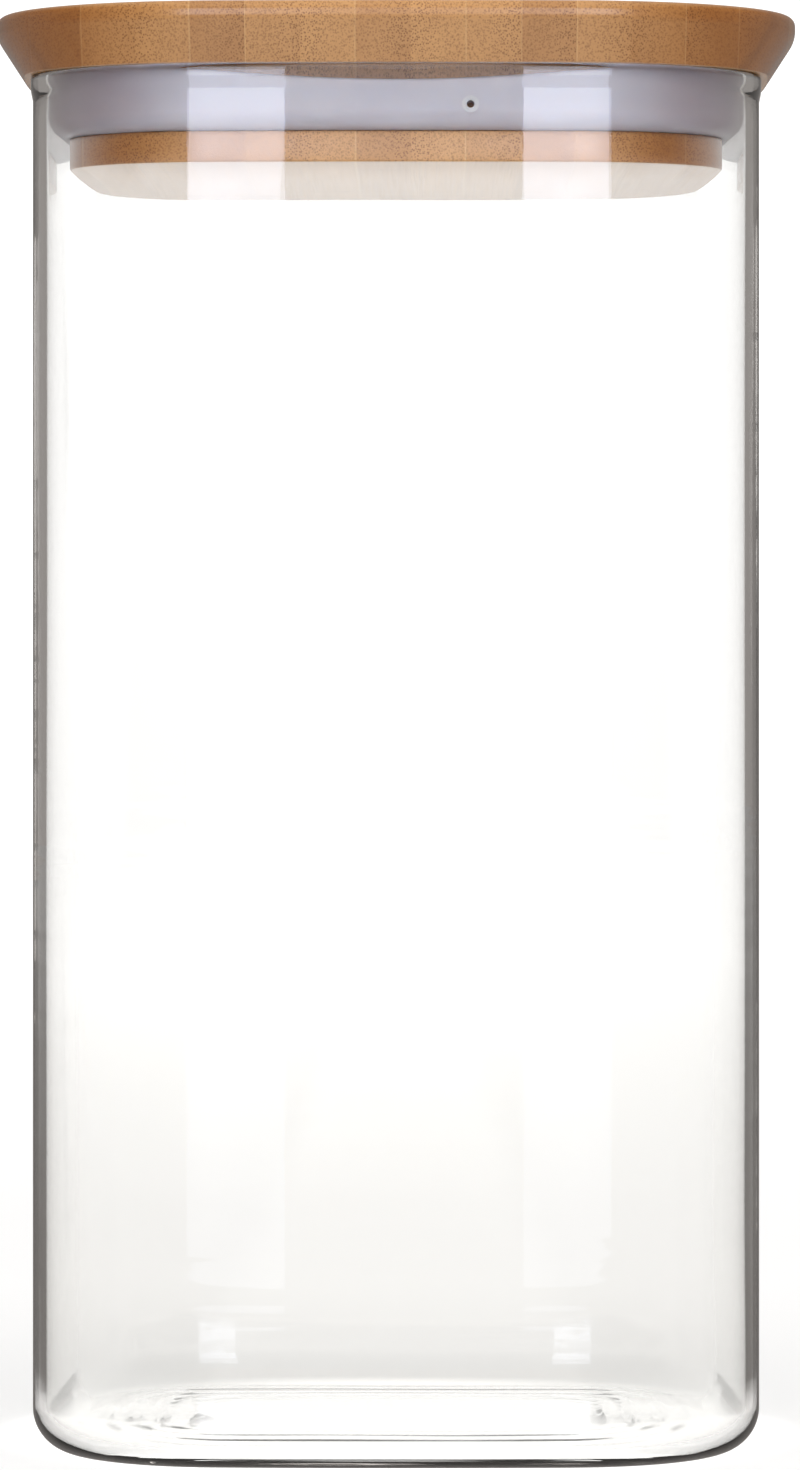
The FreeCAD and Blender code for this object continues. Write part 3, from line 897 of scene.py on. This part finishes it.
# It lights the lid less from the sides, as if dark flags stood there, and more from close by.
flagged = ramp(aside, 0.03, 0.24, 1.0, 0.10, smooth=True)
bounced = ramp(from_jar.outputs["Value"], 0.05, 0.30, 3.6, 1.0, smooth=True)
lighting = sum_up("MULTIPLY", laminate_glow, sum_up("MULTIPLY", flagged, bounced))
shown = nodes.new("ShaderNodeMix")
links.new(sum_up("GREATER_THAN", rays.outputs["Diffuse Depth"], 0.5), shown.inputs["Factor"])
links.new(laminate_glow, shown.inputs["A"])
links.new(lighting, shown.inputs["B"])
in_mirror = nodes.new("ShaderNodeMix")
links.new(mirrored, in_mirror.inputs["Factor"])
links.new(shown.outputs["Result"], in_mirror.inputs["A"])
links.new(ramp(from_jar.outputs["Value"], 0.2, 2.2, 0.02, 0.17), in_mirror.inputs["B"])
links.new(in_mirror.outputs["Result"], laminate.inputs["Emission Strength"])
# The glow is not sampled as a lamp: straight rays through the glass would count it a second time.
table_paint.cycles.emission_sampling = "NONE"
table_data.materials.append(table_paint)
pale_table.visible_glossy = False


def soft_light(name, place, aim, width, height, power, colour=(1, 1, 1)):
    """A rectangular soft light that faces a point."""
    lamp = bpy.data.lights.new(name, "AREA")
    lamp.shape = "RECTANGLE"
    lamp.size = width
    lamp.size_y = height
    lamp.energy = power
    lamp.color = colour
    light = bpy.data.objects.new(name, lamp)
    light.location = place
    towards = Vector(aim) - Vector(place)
    light.rotation_euler = towards.to_track_quat("-Z", "Y").to_euler()
    bpy.context.collection.objects.link(light)
    return light


# The foot of each tall strip falls off, so its reflection fades before it reaches the heel.
for name, middle, width in (("left", -0.80, 1.09), ("right", 0.94, 1.34)):
    for part, low, high, power in (("strip", -0.03, 1.13, 13.3), ("foot", -0.25, -0.03, 0.75)):
        height = (low + high) / 2
        softbox = soft_light(
            f"{part}_{name}", (middle, -3.0, height), (middle, 0, height),
            width, high - low, power * width, (0.90, 0.95, 1.12),
        )
        softbox.visible_diffuse = False
overhead = soft_light("overhead", (0.05, -0.45, 1.5), (0, 0, 0.15), 1.2, 1.2, 15)
front_fill = soft_light("front_fill", (0.05, -1.4, 0.75), (0, 0, 0.16), 0.4, 0.5, 11)
for light in (overhead, front_fill):
    light.visible_glossy = False
    light.visible_transmission = False

room = bpy.data.worlds.new("pale_room")
bpy.context.scene.world = room
room.use_nodes = True
nodes = room.node_tree.nodes
links = room.node_tree.links
air = nodes["Background"]
rays = nodes.new("ShaderNodeLightPath")
seen = sum_up("MAXIMUM", rays.outputs["Is Camera Ray"], rays.outputs["Is Transmission Ray"])
mirrored = sum_up(
    "MULTIPLY",
    sum_up("GREATER_THAN", rays.outputs["Glossy Depth"], 0.5),
    sum_up("LESS_THAN", rays.outputs["Transmission Depth"], 2.5),
)
# The room is dark left and right, as if flags stood there, so the lid is lit from above, the front and
# the back.
towards = nodes.new("ShaderNodeSeparateXYZ")
links.new(nodes.new("ShaderNodeTexCoord").outputs["Generated"], towards.inputs[0])
room_light = ramp(sum_up("ABSOLUTE", towards.outputs["X"]), 0.12, 0.65, 0.43, 0.04, smooth=True)
seen = sum_up(
    "MULTIPLY",
    sum_up("MAXIMUM", seen, sum_up("GREATER_THAN", rays.outputs["Transmission Depth"], 0.5)),
    sum_up("LESS_THAN", rays.outputs["Diffuse Depth"], 0.5),
)
# The camera's side of the room is dark: whatever is mirrored back towards it stays dark too.
seen = sum_up(
    "MULTIPLY",
    seen,
    sum_up(
        "MAXIMUM",
        sum_up("LESS_THAN", rays.outputs["Glossy Depth"], 0.5),
        ramp(towards.outputs["Y"], -0.2, 0.4, 0.06, 1.0, smooth=True),
    ),
)
room_brightness = 1.22
plain = sum_up("MAXIMUM", sum_up("MULTIPLY", seen, room_brightness), room_light)
room_strength = nodes.new("ShaderNodeMix")
# The dark mirrored room stands around the horizon, but not straight behind the jar.
level = sum_up(
    "MULTIPLY",
    sum_up("SUBTRACT", 1.0, ramp(sum_up("ABSOLUTE", towards.outputs["Z"]), 0.3, 0.6)),
    sum_up(
        "MAXIMUM",
        ramp(sum_up("ABSOLUTE", towards.outputs["X"]), 0.04, 0.16),
        ramp(towards.outputs["Y"], 0.0, 0.3, 1.0, 0.0),
    ),
)
links.new(sum_up("MULTIPLY", mirrored, level), room_strength.inputs["Factor"])
links.new(plain, room_strength.inputs["A"])
links.new(ramp(towards.outputs["Y"], -0.2, 0.4, 0.07, 0.27, smooth=True), room_strength.inputs["B"])
links.new(room_strength.outputs["Result"], air.inputs["Strength"])
links.new(blend_colour(mirrored, (1.0, 1.0, 1.0), (1.04, 0.97, 0.92)), air.inputs["Color"])
room.cycles.sampling_method = "NONE"

camera_turn = 0.004
camera_distance = 1.042
camera_height = 0.114
camera_data = bpy.data.cameras.new("camera")
camera_data.lens = 183.3
camera_data.sensor_width = 36.0
camera_data.shift_x = 0.0023
camera_data.shift_y = -0.0829
camera_data.clip_start = 0.05
camera_data.clip_end = 50
camera = bpy.data.objects.new("camera", camera_data)
camera.location = (
    camera_distance * math.sin(camera_turn),
    -camera_distance * math.cos(camera_turn),
    camera_height,
)
camera.rotation_euler = (math.pi / 2, 0, camera_turn)
bpy.context.collection.objects.link(camera)
bpy.context.scene.camera = camera
bpy.context.scene.view_settings.view_transform = "Standard"
# Light turns many corners inside the thick heel of the jar.
bpy.context.scene.cycles.max_bounces = 24
bpy.context.scene.cycles.glossy_bounces = 16
bpy.context.scene.cycles.transmission_bounces = 20
